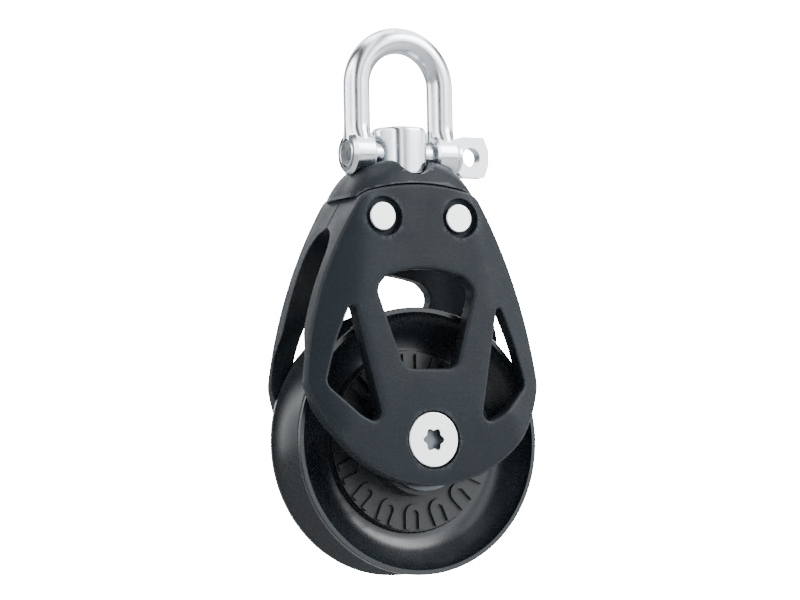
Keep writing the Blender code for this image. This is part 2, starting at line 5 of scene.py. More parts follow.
import bmesh
import bpy
from mathutils import Matrix, Vector
from mathutils.geometry import delaunay_2d_cdt


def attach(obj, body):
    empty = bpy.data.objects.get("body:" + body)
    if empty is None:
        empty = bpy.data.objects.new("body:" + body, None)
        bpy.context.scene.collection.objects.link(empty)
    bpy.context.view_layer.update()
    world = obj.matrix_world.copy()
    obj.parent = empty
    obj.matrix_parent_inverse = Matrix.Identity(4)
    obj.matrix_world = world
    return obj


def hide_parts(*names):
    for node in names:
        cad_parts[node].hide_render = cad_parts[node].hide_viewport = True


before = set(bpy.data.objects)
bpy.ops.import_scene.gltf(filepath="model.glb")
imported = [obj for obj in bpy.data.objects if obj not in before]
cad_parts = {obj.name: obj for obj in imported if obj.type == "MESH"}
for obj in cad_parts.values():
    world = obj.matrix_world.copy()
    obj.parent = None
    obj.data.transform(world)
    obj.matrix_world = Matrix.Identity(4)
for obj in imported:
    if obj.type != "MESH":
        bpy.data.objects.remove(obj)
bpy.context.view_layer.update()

# Lengths are in millimetres, and heights above the axle, except for the camera and the studio
MM = 0.001
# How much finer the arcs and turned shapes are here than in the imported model
FINE = 3
# Clearances between pieces: wide ones, close ones, and the one round the pin
GAP = 0.3
CLOSE_GAP = 0.2
PIN_GAP = 0.15
# How far a cutting shape goes past any piece it cuts
REACH = 20
# Edges sharper than this, in degrees, stay crisp
CRISP_ANGLE = 38

# Overall heights
HANG_ABOVE_AXLE = 87.8
PIN_Z = 64.8

# Sheave
SHEAVE_R = 29.9
SHEAVE_HALF_WIDTH = 7.5
GROOVE_BOTTOM_R = 24.3
HUB_R = 10.8
HUB_HALF = 6.2
WEB_HALF = 3.0
WEB_R = 20.2
BORE_R = 5.85
RIM_LAND_Y = 6.35
# (radius, y) from the retainer's seat out to the rim, and from the rim down into the groove
DISH = [(20.6, 2.2), (22.4, 2.2), (24.6, 3.3), (26.6, 4.9), (28.3, 6.3)]
RIM = [(28.8, SHEAVE_HALF_WIDTH), (29.7, SHEAVE_HALF_WIDTH), (SHEAVE_R, 7.2), (SHEAVE_R, RIM_LAND_Y)]
GROOVE = [(29.6, 6.2), (28.7, 5.7), (27.5, 4.75), (26.3, 3.5), (25.2, 2.1), (24.55, 0.9)]
SHEAVE_SEGMENTS = 42

# Bearing and retainer
BALL_TRACK_R = 1.87
BALL_CIRCLE_R = 9.0
BALL_Y = 7.2
TUBE_R = 4.3
RETAINER_R = 20.0
RETAINER_HALF = (3.2, 3.9)
RETAINER_BORE_R = 11.0
RETAINER_COLLAR_R = 12.2
RETAINER_LIP_R = 10.45
RETAINER_LIP = (8.35, 8.85)
ARCH_COUNT = 16
ARCH_TOP = 4.6
ARCH_SINK = 0.3
ARCH_CENTRE = 16.3
ARCH_OUTER_R = 2.32
ARCH_INNER_R = 0.95
ARCH_FOOT = 19.6

# Cheeks
CHEEK_HALF_WIDTH = 29.2
CORNER_R = 8.0
LOWER_R = 30.3
LOWER_CENTRE_Z = 20.1
SIDE_R = 90.0
SIDE_LEAN = 6.0
SHOULDER = (14.9, 54.0)
TOP_APEX_Z = 57.3
TOP_R = 45.7
TOP_HALF_WIDTH = 12.2
SHOULDER_BEND = (-0.9, 1.1)
# Window corners as (x, z, corner radius); the central window is mirrored about the last one
CENTRAL_WINDOW = [(6.5, 15.8, 3.2), (12.3, 33.6, 3.0), (9.6, 36.6, 4.0), (0, 38.9, 24.0)]
SIDE_WINDOW = [
    (12.2, 3.2, 1.8), (17.8, 5.3, 12.0), (25.0, 12.3, 2.6), (22.4, 21.6, 22.0), (18.2, 31.4, 0.8),
]
BOSS_FACE = 14.4
# The outer face: y at the axle and slope with z, then y and slopes with x and z on the flanks
FACE_PLANE = (15.0, 0.085)
FLANK_PLANE = (23.6, 0.4, 0.14)
FACE_BLEND = 0.25
FLANK_BLEND = 0.3
CHEEK_THICKNESS = 3.9
SHEAVE_CLEARANCE = 7.9
CLEAR_R = 34.0
HUB_INNER = 10.2
HUB_FLAT_R = 12.4
ARCH_START_Z = 40.0
ARCH_HEIGHT = 7.5
PARTING_HALF = 0.05
EDGE_ROUND = 0.75
INNER_EDGE_ROUND = EDGE_ROUND * 0.4
# Spacing of the points on the two faces, their distance from an edge, and the grid's reach
OUTER_SPACING = 1.7
INNER_SPACING = 2.4
GRID_MARGIN = 0.9
GRID_BOTTOM_Z = -12
GRID_HEIGHT = 80
GRID_HALF_COLUMNS = 22
HUB_RING_RADII = (12.4, 13.8)
POCKET_TOP_Y = 18

# Head, tongue and post
TONGUE_HALF_X = 13.1
TONGUE_HALF_Y = 5.0
TONGUE_BOTTOM_Z = 43.2
NUT_SLOT_HALF = 5.4
NUT_SLOT_TOP_Z = 50.6
NUT_SLOT_FLARE = 0.6
TONGUE_BLANK_TOP_Z = 60.0
TONGUE_CORNER_R = 2.0
HEAD_TOP_Z = 62.9
TONGUE_TOP_Z = 58.6
TONGUE_TOP_TAPER = 0.82
HEAD_SEAT_HALF_X = 18.0
HEAD_SEAT_BOTTOM_Z = 50.0
# Height, half width, half depth and squareness of the head at each level
HEAD_LEVELS = [
    (52.0, 16.6, 10.7, 5.0), (55.4, 15.2, 10.4, 4.8), (58.1, 13.7, 9.8, 4.2), (59.7, 12.5, 9.3, 3.7),
    (61.1, 11.1, 8.7, 3.1), (62.0, 9.9, 8.2, 2.6), (62.6, 8.6, 7.7, 2.2), (HEAD_TOP_Z, 7.6, 7.2, 2.0),
]
POST_BOTTOM_Z = 59.4
POST_TOP_Z = 71.1
POST_FLAT = 6.2
POST_CHAMFER = 6.42
# Scale of the post's section and height, from its foot to its crown
POST_LEVELS = [
    (0.9, POST_BOTTOM_Z), (1.0, POST_BOTTOM_Z + 0.7), (1.0, POST_TOP_Z - 1.3),
    (0.9, POST_TOP_Z - 0.4), (0.5, POST_TOP_Z),
]
POST_BORE_R = 6.92
POST_BORE_TOP_Z = 75
SHANK_R = 3.0
SHANK_BOTTOM_Z = 44.6
SHANK_BORE_BOTTOM_Z = 40
NOTCH_R = 5.2

# Shackle
BAR_R = 3.0
BAR_SIDES = 48
LEG_X = 10.6
EAR_INNER_X = 7.8
# The legs widen from front to back where they run into the ears
FLARE = 0.9
FLARE_TOP = 6.5
FLARE_HEIGHT = 3.5
EAR_OUTER_X = 13.4
EAR_R = 4.9
PIN_R = 3.0
PIN_COLLAR_R = 3.9
PIN_COLLAR_X = EAR_OUTER_X + 0.2
PIN_COLLAR_WIDTH = 0.8
TAB_ROOT_X = PIN_COLLAR_X + 0.1
TAB_ROOT_HALF_HEIGHT = 2.6
TAB_SHOULDER = 1.6
TAB_TIP_X = 22.4
TAB_TIP_CUT = 1.2
TAB_TIP_HALF_HEIGHT = 1.6
TAB_HALF_HEIGHT = 4.65
TAB_HALF_THICKNESS = 1.4
TAB_HOLE_R = 2.15
TAB_HOLE_X = 17.9

# Fasteners
RIVET_X = 9.6
RIVET_Z = 49.8
RIVET_HEAD_R = 3.2
RIVET_POCKET_R = 4.5
RIVET_FACE = 10.2
RIVET_POCKET_FLOOR = 9.2
RIVET_UNDER_HEAD = RIVET_POCKET_FLOOR + 0.15
RIVET_SHANK_R = 1.8
HEAD_CHAMFER = 0.2
SCREW_HEAD_R = 6.15
SCREW_POCKET_R = 6.5
SCREW_FACE = 14.2
SCREW_POCKET_FLOOR = 12.6
SCREW_UNDER_HEAD = 12.75
SCREW_SHANK_R = 3.2
SCREW_TIP_Y = 3.0
SCREW_TIP_CHAMFER = 0.3
SOCKET_R = 2.6
SOCKET_DEPTH = 1.9
SOCKET_LOBES = 6
SOCKET_LOBE = 0.3
SOCKET_POINTS = 72

AXIS_ROTATION = {
    "X": Matrix.Rotation(math.radians(90), 4, "Y"),
    "Y": Matrix.Rotation(math.radians(-90), 4, "X"),
    "Z": Matrix.Identity(4),
}

# Camera: azimuth, elevation and roll in degrees, then metres, from the axle
CAMERA_ANGLES = (-27.8, -4.1, -1.0)
CAMERA_DISTANCE = 0.8
CAMERA_AIM = (-0.00093, 0.0319)
SENSOR_MM = 36.0
LENS_MM = 160.2

# Studio, in metres: brightness of the fill, of the white backdrop and of what shiny metal reflects
FILL_STRENGTH = 0.16
FILL_COLOUR = (0.93, 0.96, 1.0, 1)
BACKDROP_STRENGTH = 40.0
GLOSS_STRENGTH = 4.5
ROOM_TINT = (0.97, 0.99, 1.0)
# Light and dark bands that shiny metal reflects: place from left (0) to right (1), and brightness
ROOM_BANDS = [
    (0.0, 0.5), (0.05, 0.8), (0.105, 2.2), (0.15, 0.7), (0.19, 0.08), (0.23, 0.012), (0.28, 0.015),
    (0.32, 0.12), (0.37, 0.15), (0.42, 0.8), (0.48, 1.0), (0.54, 0.3), (0.59, 0.15), (0.65, 0.7),
    (0.735, 1.0), (0.86, 1.0), (0.90, 0.12), (0.945, 0.03), (0.97, 0.35), (1.0, 1.1),
]
LIGHT_AIM = (0, 0, -0.06)
# Name, place, size and power of each soft light
LIGHTS = [
    ("key", (0.68, -0.75, 0.55), (0.6, 0.6), 12.5),
    ("left_strip", (-1.0, 0.15, 0.35), (0.3, 0.9), 2.6),
    ("right_strip", (0.9, -0.5, 0.15), (0.3, 1.2), 4.0),
    ("top", (0.0, 0.1, 1.0), (0.7, 0.7), 6.0),
    ("rear", (0.3, 1.0, 0.3), (0.8, 0.8), 3.0),
]
FLOOR_Z = -0.26
FLOOR_HALF = 3.0

# Base colours, linear
FORGED = (0.0165, 0.0215, 0.0267)
# Lighter colour painted on the forging's sharpest edges: a painted highlight where rounded edges catch light
FORGED_EDGE_HIGHLIGHT = (0.16, 0.18, 0.20, 1)
SHEAVE = (0.011, 0.0155, 0.0195)
RETAINER = (0.014, 0.017, 0.020)
STEEL = (0.68, 0.72, 0.76)
SCREW = (0.93, 0.94, 0.95)
BEARING = (0.09, 0.10, 0.11)
BALL = (0.82, 0.82, 0.80)
COMPOSITE = (0.20, 0.16, 0.11)
FLOOR = (0.85, 0.86, 0.87)
# Dark colour painted inside the axle screws' sockets: painted shade in the recess
SOCKET_SHADE_COLOUR = (0.12, 0.13, 0.15, 1)
# Noise is mapped between these levels, which hold nearly all of it
NOISE_SPAN = (0.3, 0.7)


def soft_min(a, b, blend):
    """The smaller of two values, with the corner between them rounded over about blend."""
    low = min(a, b)
    return low - blend * math.log(math.exp((low - a) / blend) + math.exp((low - b) / blend))


def refined(levels, steps):
    """More levels between the given ones, on a smooth curve through them."""
    fine = []
    for k in range(len(levels) - 1):
        before, after = levels[max(k - 1, 0)], levels[min(k + 2, len(levels) - 1)]
        for i in range(steps):
            t = i / steps
            fine.append(tuple(
                0.5 * (
                    2 * b + (c - a) * t + (2 * a - 5 * b + 4 * c - d) * t**2
                    + (3 * b - a - 3 * c + d) * t**3
                )
                for a, b, c, d in zip(before, levels[k], levels[k + 1], after)
            ))
    return fine + [levels[-1]]


def add_object(name, shape, material, base, location=(0, 0, 0), sharp_angle=32):
    """Turns a bmesh in millimetres into an object whose origin is the frame's, at a height base."""
    bmesh.ops.recalc_face_normals(shape, faces=shape.faces)
    shape.transform(Matrix.Scale(MM, 4) @ Matrix.Translation(Vector(location) + Vector((0, 0, base))))
    mesh = bpy.data.meshes.new(name)
    shape.to_mesh(mesh)
    shape.free()
    mesh.materials.append(material)
    mesh.shade_smooth()
    mesh.set_sharp_from_angle(angle=math.radians(sharp_angle))
    obj = bpy.data.objects.new(name, mesh)
    obj["base"] = base
    bpy.context.scene.collection.objects.link(obj)
    return obj


def combine(target, operation, name, shape, location=(0, 0, 0)):
    """Cuts a helper shape from the target, or joins it on, and leaves nothing of the helper."""
    helper = add_object(name, shape, target.data.materials[0], target["base"], location)
    modifier = target.modifiers.new(name, "BOOLEAN")
    modifier.operation = operation
    modifier.solver = "EXACT"
    modifier.object = helper
    graph = bpy.context.evaluated_depsgraph_get()
    mesh = bpy.data.meshes.new_from_object(target.evaluated_get(graph))
    target.modifiers.clear()
    target.data = mesh
    bpy.data.objects.remove(helper, do_unlink=True)


def finished(obj, node, body, edge):
    """Breaks the sharp edges by edge millimetres and puts the piece in the node's place."""
    obj.name = f"fine_{node}"
    obj.data.shade_smooth()
    if edge:
        bevel = obj.modifiers.new("broken_edges", "BEVEL")
        bevel.width = edge * MM
        bevel.segments = 2
        bevel.limit_method = "ANGLE"
        bevel.angle_limit = math.radians(CRISP_ANGLE)
    obj.data.set_sharp_from_angle(angle=math.radians(CRISP_ANGLE))
    even = obj.modifiers.new("even_shading", "WEIGHTED_NORMAL")
    even.keep_sharp = True
    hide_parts(node)
    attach(obj, body)
    return obj


def skin(shape, rings, capped=True):
    """Joins each closed ring of points to the next and, if capped, closes both ends."""
    for low, high in zip(rings, rings[1:]):
        for k in range(len(low)):
            shape.faces.new((low[k - 1], low[k], high[k], high[k - 1]))
    if capped:
        shape.faces.new(rings[0])
        shape.faces.new(rings[-1])


def turned(profile, segments, axis="Y"):
    """A solid of revolution: profile is a loop of (radius, height along the axis)."""
    segments *= FINE
    shape = bmesh.new()
    rings = []
    for radius, height in profile:
        count = segments if radius > 0 else 1
        angles = [2 * math.pi * k / segments for k in range(count)]
        rings.append([
            shape.verts.new((radius * math.cos(a), radius * math.sin(a), height)) for a in angles
        ])
    closed = all(radius > 0 for radius, _ in profile)
    pairs = list(zip(rings, rings[1:]))
    if closed:
        pairs.append((rings[-1], rings[0]))
    for low, high in pairs:
        for k in range(segments):
            n = (k + 1) % segments
            corners = [low[k % len(low)], low[n % len(low)], high[n % len(high)], high[k % len(high)]]
            shape.faces.new(list(dict.fromkeys(corners)))
    shape.transform(AXIS_ROTATION[axis])
    return shape


def disc(radius, low, high, segments, axis="Y"):
    return turned([(0, low), (radius, low), (radius, high), (0, high)], segments, axis)


def prism(outline, low, high, axis="Y"):
    """Extrudes an outline of (across, up) points along Y, or of (x, y) points along Z."""
    shape = bmesh.new()

    def ring(along):
        if axis == "Z":
            return [shape.verts.new((u, v, along)) for u, v in outline]
        return [shape.verts.new((u, along, v)) for u, v in outline]

    first, second = ring(low), ring(high)
    shape.faces.new(first)
    shape.faces.new(second[::-1])
    for k in range(len(outline)):
        n = (k + 1) % len(outline)
        shape.faces.new((first[k], second[k], second[n], first[n]))
    return shape


def box(low, high):
    (x0, y0, z0), (x1, y1, z1) = low, high
    return prism([(x0, z0), (x1, z0), (x1, z1), (x0, z1)], y0, y1)


def arc(centre, radius, start, end, count):
    """count + 1 points along an arc, its angles in degrees."""
    count *= FINE
    angles = [math.radians(start + (end - start) * k / count) for k in range(count + 1)]
    return [(centre[0] + radius * math.cos(a), centre[1] + radius * math.sin(a)) for a in angles]


def rounded_polygon(corners, step=8):
    """A closed outline from (x, z, corner radius), with an arc point about every step degrees."""
    outline = []
    for k, (x, z, radius) in enumerate(corners):
        here = Vector((x, z))
        before = (Vector(corners[k - 1][:2]) - here).normalized()
        after = (Vector(corners[(k + 1) % len(corners)][:2]) - here).normalized()
        turn = math.pi - before.angle(after)
        reach = radius * math.tan(turn / 2)
        centre = here + (before + after).normalized() * math.hypot(radius, reach)
        start = here + before * reach - centre
        end = here + after * reach - centre
        count = max(1, round(math.degrees(turn) / step))
        sweep = start.angle_signed(end)
        for i in range(count + 1):
            a = -sweep * i / count
            turned_arm = Vector((
                start.x * math.cos(a) - start.y * math.sin(a),
                start.x * math.sin(a) + start.y * math.cos(a),
            ))
            outline.append(tuple(centre + turned_arm))
    return outline


def mirrored(half):
    """Completes an outline whose right half runs from the bottom to the top."""
    return half + [(-x, z) for x, z in half[::-1] if abs(x) > 1e-6]


def top_edge_z(x):
    return TOP_APEX_Z - TOP_R + math.sqrt(TOP_R**2 - x**2)


def cheek_outline():
    """The cheek's edge: a round bottom, two corners, curved sides, shoulders and an arched top."""
    corner_x = CHEEK_HALF_WIDTH - CORNER_R
    reach = LOWER_R - CORNER_R
    drop = math.sqrt(reach**2 - corner_x**2)
    corner = (corner_x, LOWER_CENTRE_Z - drop)
    meet = -math.degrees(math.asin(drop / reach))
    lean = math.radians(SIDE_LEAN)
    side_reach = SIDE_R - CORNER_R
    side = (corner[0] - side_reach * math.cos(lean), corner[1] - side_reach * math.sin(lean))
    side_end = math.degrees(math.asin((SHOULDER[1] - side[1]) / SIDE_R))
    half = arc((0, LOWER_CENTRE_Z), LOWER_R, -90, meet, 11)
    half += arc(corner, CORNER_R, meet, SIDE_LEAN, 3)[1:]
    half += arc(side, SIDE_R, SIDE_LEAN, side_end, 10)[1:]
    start = Vector(half[-1])
    end = Vector((TOP_HALF_WIDTH, top_edge_z(TOP_HALF_WIDTH)))
    bend = start + Vector(SHOULDER_BEND)
    for t in (0.33, 0.67, 1.0):
        half.append(tuple(start * (1 - t) ** 2 + bend * 2 * t * (1 - t) + end * t**2))
    for k in range(1, 5):
        x = TOP_HALF_WIDTH * (1 - k / 4)
        half.append((x, top_edge_z(x)))
    return mirrored(half)


def central_window():
    left = [(-x, z, r) for x, z, r in CENTRAL_WINDOW[-2::-1]]
    return rounded_polygon(CENTRAL_WINDOW + left)


def side_window(side):
    outline = rounded_polygon(SIDE_WINDOW)
    return outline if side > 0 else [(-x, z) for x, z in outline[::-1]]


def outer_face(x, z):
    """Distance of the cheek's outer face from the middle plane of the block."""
    centre = soft_min(BOSS_FACE, FACE_PLANE[0] - FACE_PLANE[1] * z, FACE_BLEND)
    flank = FLANK_PLANE[0] - FLANK_PLANE[1] * abs(x) - FLANK_PLANE[2] * z
    return soft_min(centre, flank, FLANK_BLEND)


def inner_face(x, z):
    """Distance of the cheek's inner face, which hugs the sheave and closes in above it."""
    radius = math.hypot(x, z)
    depth = outer_face(x, z) - CHEEK_THICKNESS
    if radius < CLEAR_R + 4:
        depth = max(depth, min(SHEAVE_CLEARANCE, SHEAVE_CLEARANCE - (radius - CLEAR_R)))
    depth = max(depth, min(HUB_INNER, HUB_INNER - 2 * (radius - HUB_FLAT_R)))
    rise = (z - ARCH_START_Z) / ARCH_HEIGHT
    if rise > 0:
        depth *= math.sqrt(max(0.0, 1 - rise**2))
    return max(depth, PARTING_HALF)


def inset(outline, distance):
    """Moves each point of a counter-clockwise outline to its left by a distance."""
    moved = []
    for k, point in enumerate(outline):
        here = Vector(point)
        before = (here - Vector(outline[k - 1])).normalized()
        after = (Vector(outline[(k + 1) % len(outline)]) - here).normalized()
        along = (before + after).normalized()
        moved.append((here.x - along.y * distance, here.y + along.x * distance))
    return moved


def inside(point, outline):
    x, z = point
    found = False
    for (x0, z0), (x1, z1) in zip(outline, outline[1:] + outline[:1]):
        if (z0 > z) != (z1 > z) and x < x0 + (z - z0) * (x1 - x0) / (z1 - z0):
            found = not found
    return found


def in_region(point, outer, holes):
    return inside(point, outer) and not any(inside(point, hole) for hole in holes)


def cap_points(outer, holes, margin, spacing, hub_radii):
    """Points inside the region for a curved cap: a grid, and rings around the hub."""
    kept_outer = inset(outer, margin)
    kept_holes = [inset(hole, -margin) for hole in holes]
    points = []
    for row in range(int(GRID_HEIGHT / spacing)):
        z = GRID_BOTTOM_Z + row * spacing
        for column in range(-GRID_HALF_COLUMNS, GRID_HALF_COLUMNS + 1):
            x = (column + 0.5 * (row % 2)) * spacing
            clear = all(abs(math.hypot(x, z) - radius) > spacing / 2 for radius in hub_radii)
            if clear and in_region((x, z), kept_outer, kept_holes):
                points.append((x, z))
    for radius in hub_radii:
        ring = arc((0, 0), radius, 0, 355, 24)
        points += [p for p in ring if in_region(p, kept_outer, kept_holes)]
    return points


def shell(outer, holes, side):
    """A cheek: both faces are height fields, joined around the rim and around each hole."""
    shape = bmesh.new()
    loops = [(outer, 1)] + [(hole, -1) for hole in holes]
    levels = []
    for a in (0, 22.5, 45, 67.5, 90):
        s, c = math.sin(math.radians(a)), math.cos(math.radians(a))
        levels.append((EDGE_ROUND * (1 - s), -EDGE_ROUND * (1 - c), outer_face))
    for a in (90, 60, 30, 0):
        s, c = math.sin(math.radians(a)), math.cos(math.radians(a))
        levels.append((INNER_EDGE_ROUND * (1 - s), INNER_EDGE_ROUND * (1 - c), inner_face))
    last = len(levels) - 1
    faces_of_caps = {0: [], last: []}
    for outline, sign in loops:
        rings = []
        for into, shift, face in levels:
            ring = inset(outline, into * sign)
            rings.append([shape.verts.new((x, side * (face(x, z) + shift), z)) for x, z in ring])
        for cap in faces_of_caps:
            faces_of_caps[cap].append(rings[cap])
        skin(shape, rings, capped=False)
    caps = ((0, outer_face, OUTER_SPACING, ()), (last, inner_face, INNER_SPACING, HUB_RING_RADII))
    for cap, face, spacing, radii in caps:
        rings = faces_of_caps[cap]
        verts = [v for ring in rings for v in ring]
        flat = [[(v.co.x, v.co.z) for v in ring] for ring in rings]
        extra = cap_points(flat[0], flat[1:], GRID_MARGIN, spacing, radii)
        verts += [shape.verts.new((x, side * face(x, z), z)) for x, z in extra]
        edges, start = [], 0
        for ring in rings:
            edges += [(start + k, start + (k + 1) % len(ring)) for k in range(len(ring))]
            start += len(ring)
        points = [Vector((v.co.x, v.co.z)) for v in verts]
        result = delaunay_2d_cdt(points, edges, [], 0, 1e-6, True)
        for triangle in result[2]:
            ids = [result[3][k][0] for k in triangle]
            middle = sum((points[k] for k in ids), Vector((0, 0))) / 3
            if in_region(middle, flat[0], flat[1:]):
                shape.faces.new([verts[k] for k in ids])
    return shape


def build_cheek(name, side, material, base):
    holes = [central_window(), side_window(-1), side_window(1)]
    cheek = add_object(name, shell(cheek_outline(), holes, side), material, base)
    tube_hole_r = TUBE_R + CLOSE_GAP
    axle_hole = turned([
        (0, 5), (tube_hole_r, 5), (tube_hole_r, SCREW_POCKET_FLOOR),
        (SCREW_POCKET_R, SCREW_POCKET_FLOOR), (SCREW_POCKET_R, POCKET_TOP_Y), (0, POCKET_TOP_Y),
    ], 30)
    shank_hole_r = RIVET_SHANK_R + CLOSE_GAP
    rivet_hole = [
        (0, -2), (shank_hole_r, -2), (shank_hole_r, RIVET_POCKET_FLOOR),
        (RIVET_POCKET_R, RIVET_POCKET_FLOOR), (RIVET_POCKET_R, POCKET_TOP_Y), (0, POCKET_TOP_Y),
    ]
    axle_hole.transform(Matrix.Scale(side, 4, (0, 1, 0)))
    combine(cheek, "DIFFERENCE", f"{name}_axle_hole", axle_hole)
    for label, x in (("left", -RIVET_X), ("right", RIVET_X)):
        hole = turned(rivet_hole, 22)
        hole.transform(Matrix.Translation((x, 0, RIVET_Z)) @ Matrix.Scale(side, 4, (0, 1, 0)))
        combine(cheek, "DIFFERENCE", f"{name}_rivet_hole_{label}", hole)
    half_x, half_y = TONGUE_HALF_X + CLOSE_GAP, TONGUE_HALF_Y + CLOSE_GAP
    pocket = box((-half_x, -half_y, ARCH_START_Z), (half_x, half_y, HEAD_TOP_Z))
    combine(cheek, "DIFFERENCE", f"{name}_tongue_pocket", pocket)
    return finished(cheek, name, "block_frame", 0)


def head_section(z, half_x, half_y, power, count=96):
    """One level of the head: a superellipse."""
    section = []
    for k in range(count):
        a = 2 * math.pi * (k + 0.5) / count
        c, s = math.cos(a), math.sin(a)
        section.append((
            half_x * math.copysign(abs(c) ** (2 / power), c),
            half_y * math.copysign(abs(s) ** (2 / power), s),
            z,
        ))
    return section


def build_head(material, base):
    shape = bmesh.new()
    rings = [[shape.verts.new(p) for p in head_section(*level)] for level in refined(HEAD_LEVELS, 4)]
    skin(shape, rings)
    head = add_object("forged_head", shape, material, base)

    half = [(HEAD_SEAT_HALF_X, HEAD_SEAT_BOTTOM_Z), (HEAD_SEAT_HALF_X, SHOULDER[1] + GAP)]
    half += [(x, z + GAP) for x, z in cheek_outline() if x > -1e-6 and z > SHOULDER[1] - 0.01]
    left = [(-x, z) for x, z in half[::-1] if x > 1e-6]
    combine(head, "DIFFERENCE", "head_seat", prism(half + left, -REACH, REACH))

    right = [
        (NUT_SLOT_HALF, NUT_SLOT_TOP_Z, 1.2), (NUT_SLOT_HALF + NUT_SLOT_FLARE, TONGUE_BOTTOM_Z, 1.0),
        (TONGUE_HALF_X, TONGUE_BOTTOM_Z, TONGUE_CORNER_R), (TONGUE_HALF_X, TONGUE_BLANK_TOP_Z, 0.5),
    ]
    tongue = rounded_polygon([(-x, z, r) for x, z, r in right[::-1]] + right, 45)
    tongue = [(x, min(z, TONGUE_TOP_Z)) for x, z in tongue]
    tongue = [(x * TONGUE_TOP_TAPER if z >= TONGUE_TOP_Z else x, z) for x, z in tongue]
    combine(head, "UNION", "head_tongue", prism(tongue, -TONGUE_HALF_Y, TONGUE_HALF_Y))

    shank_hole_r, step_z = SHANK_R + CLOSE_GAP, POST_BOTTOM_Z - CLOSE_GAP
    post_bore = turned([
        (0, SHANK_BORE_BOTTOM_Z), (shank_hole_r, SHANK_BORE_BOTTOM_Z), (shank_hole_r, step_z),
        (POST_BORE_R, step_z), (POST_BORE_R, POST_BORE_TOP_Z), (0, POST_BORE_TOP_Z),
    ], 36, "Z")
    combine(head, "DIFFERENCE", "head_post_bore", post_bore)
    for axis in "XY":
        notch = disc(NOTCH_R, -REACH, REACH, 40, axis)
        notch.transform(Matrix.Translation((0, 0, PIN_Z)))
        combine(head, "DIFFERENCE", f"head_notch_{axis.lower()}", notch)
    for label, x in (("left", -RIVET_X), ("right", RIVET_X)):
        hole = disc(RIVET_SHANK_R + CLOSE_GAP, -12, 12, 24)
        hole.transform(Matrix.Translation((x, 0, RIVET_Z)))
        combine(head, "DIFFERENCE", f"head_rivet_hole_{label}", hole)
    return finished(head, "forged_head", "block_frame", 0.15)


def build_post(steel, base):
    """A six-sided post with broken edges, on a shank that a nut holds in the tongue."""
    corners = []
    for k in range(12):
        flat, chamfer = (POST_FLAT, POST_CHAMFER) if k % 2 == 0 else (POST_CHAMFER, POST_FLAT)
        a, b = math.radians(30 * k - 90), math.radians(30 * (k + 1) - 90)
        # The corner lies on both neighbouring flats.
        det = math.cos(a) * math.sin(b) - math.sin(a) * math.cos(b)
        x = (flat * math.sin(b) - chamfer * math.sin(a)) / det
        y = (chamfer * math.cos(a) - flat * math.cos(b)) / det
        corners.append((x, y))
    shape = bmesh.new()
    rings = [[shape.verts.new((x * s, y * s, z)) for x, y in corners] for s, z in POST_LEVELS]
    skin(shape, rings)
    shape.transform(Matrix.Translation((0, 0, -PIN_Z)))
    post = add_object("head_post", shape, steel, base)
    shank = disc(SHANK_R, SHANK_BOTTOM_Z, POST_BOTTOM_Z + 1, 24, "Z")
    shank.transform(Matrix.Translation((0, 0, -PIN_Z)))
    combine(post, "UNION", "post_shank", shank)
    combine(post, "DIFFERENCE", "post_pin_hole", disc(PIN_R + PIN_GAP, -REACH, REACH, 32, "X"))
    finished(post, "head_post", "block_frame", 0.2)


def sheave_profile():
    """The sheave's section as a closed loop of (radius, y), from the bore round to the bore."""
    reach = math.degrees(math.asin((BALL_Y - HUB_HALF) / BALL_TRACK_R))
    track = arc((BALL_CIRCLE_R, BALL_Y), BALL_TRACK_R, 180 + reach, 360 - reach, 3)
    half = [(BORE_R, HUB_HALF)] + track + [(HUB_R, HUB_HALF), (HUB_R, WEB_HALF), (WEB_R, WEB_HALF)]
    half += DISH + RIM + GROOVE
    other = [(r, -y) for r, y in half[::-1]]
    return half + [(GROOVE_BOTTOM_R, 0)] + other


def retainer_arches(side):
    """Sixteen raised arches, their round ends towards the hub."""
    outline = arc((ARCH_CENTRE, 0), ARCH_OUTER_R, 90, 270, 5)
    outline += [(ARCH_FOOT, -ARCH_OUTER_R), (ARCH_FOOT, -ARCH_INNER_R)]
    outline += arc((ARCH_CENTRE, 0), ARCH_INNER_R, 270, 90, 2)
    outline += [(ARCH_FOOT, ARCH_INNER_R), (ARCH_FOOT, ARCH_OUTER_R)]
    shape = bmesh.new()
    for k in range(ARCH_COUNT):
        piece = prism(outline, side * (RETAINER_HALF[0] + ARCH_SINK), side * ARCH_TOP)
        bmesh.ops.recalc_face_normals(piece, faces=piece.faces)
        piece.transform(Matrix.Rotation(2 * math.pi * k / ARCH_COUNT, 4, "Y"))
        mesh = bpy.data.meshes.new("arch")
        piece.to_mesh(mesh)
        piece.free()
        shape.from_mesh(mesh)
        bpy.data.meshes.remove(mesh)
    return shape


def build_retainer(name, side, material, base):
    low, high = RETAINER_HALF
    lip_low, lip_high = RETAINER_LIP
    profile = [
        (RETAINER_BORE_R, low), (RETAINER_R, low), (RETAINER_R, high), (RETAINER_COLLAR_R, high),
        (RETAINER_COLLAR_R, lip_high), (RETAINER_LIP_R, lip_high), (RETAINER_LIP_R, lip_low),
        (RETAINER_BORE_R, lip_low),
    ]
    shape = turned(profile, SHEAVE_SEGMENTS)
    shape.transform(Matrix.Scale(side, 4, (0, 1, 0)))
    ring = add_object(name, shape, material, base)
    combine(ring, "UNION", f"{name}_arches", retainer_arches(side))
    finished(ring, name, "sheave_set", 0.1)


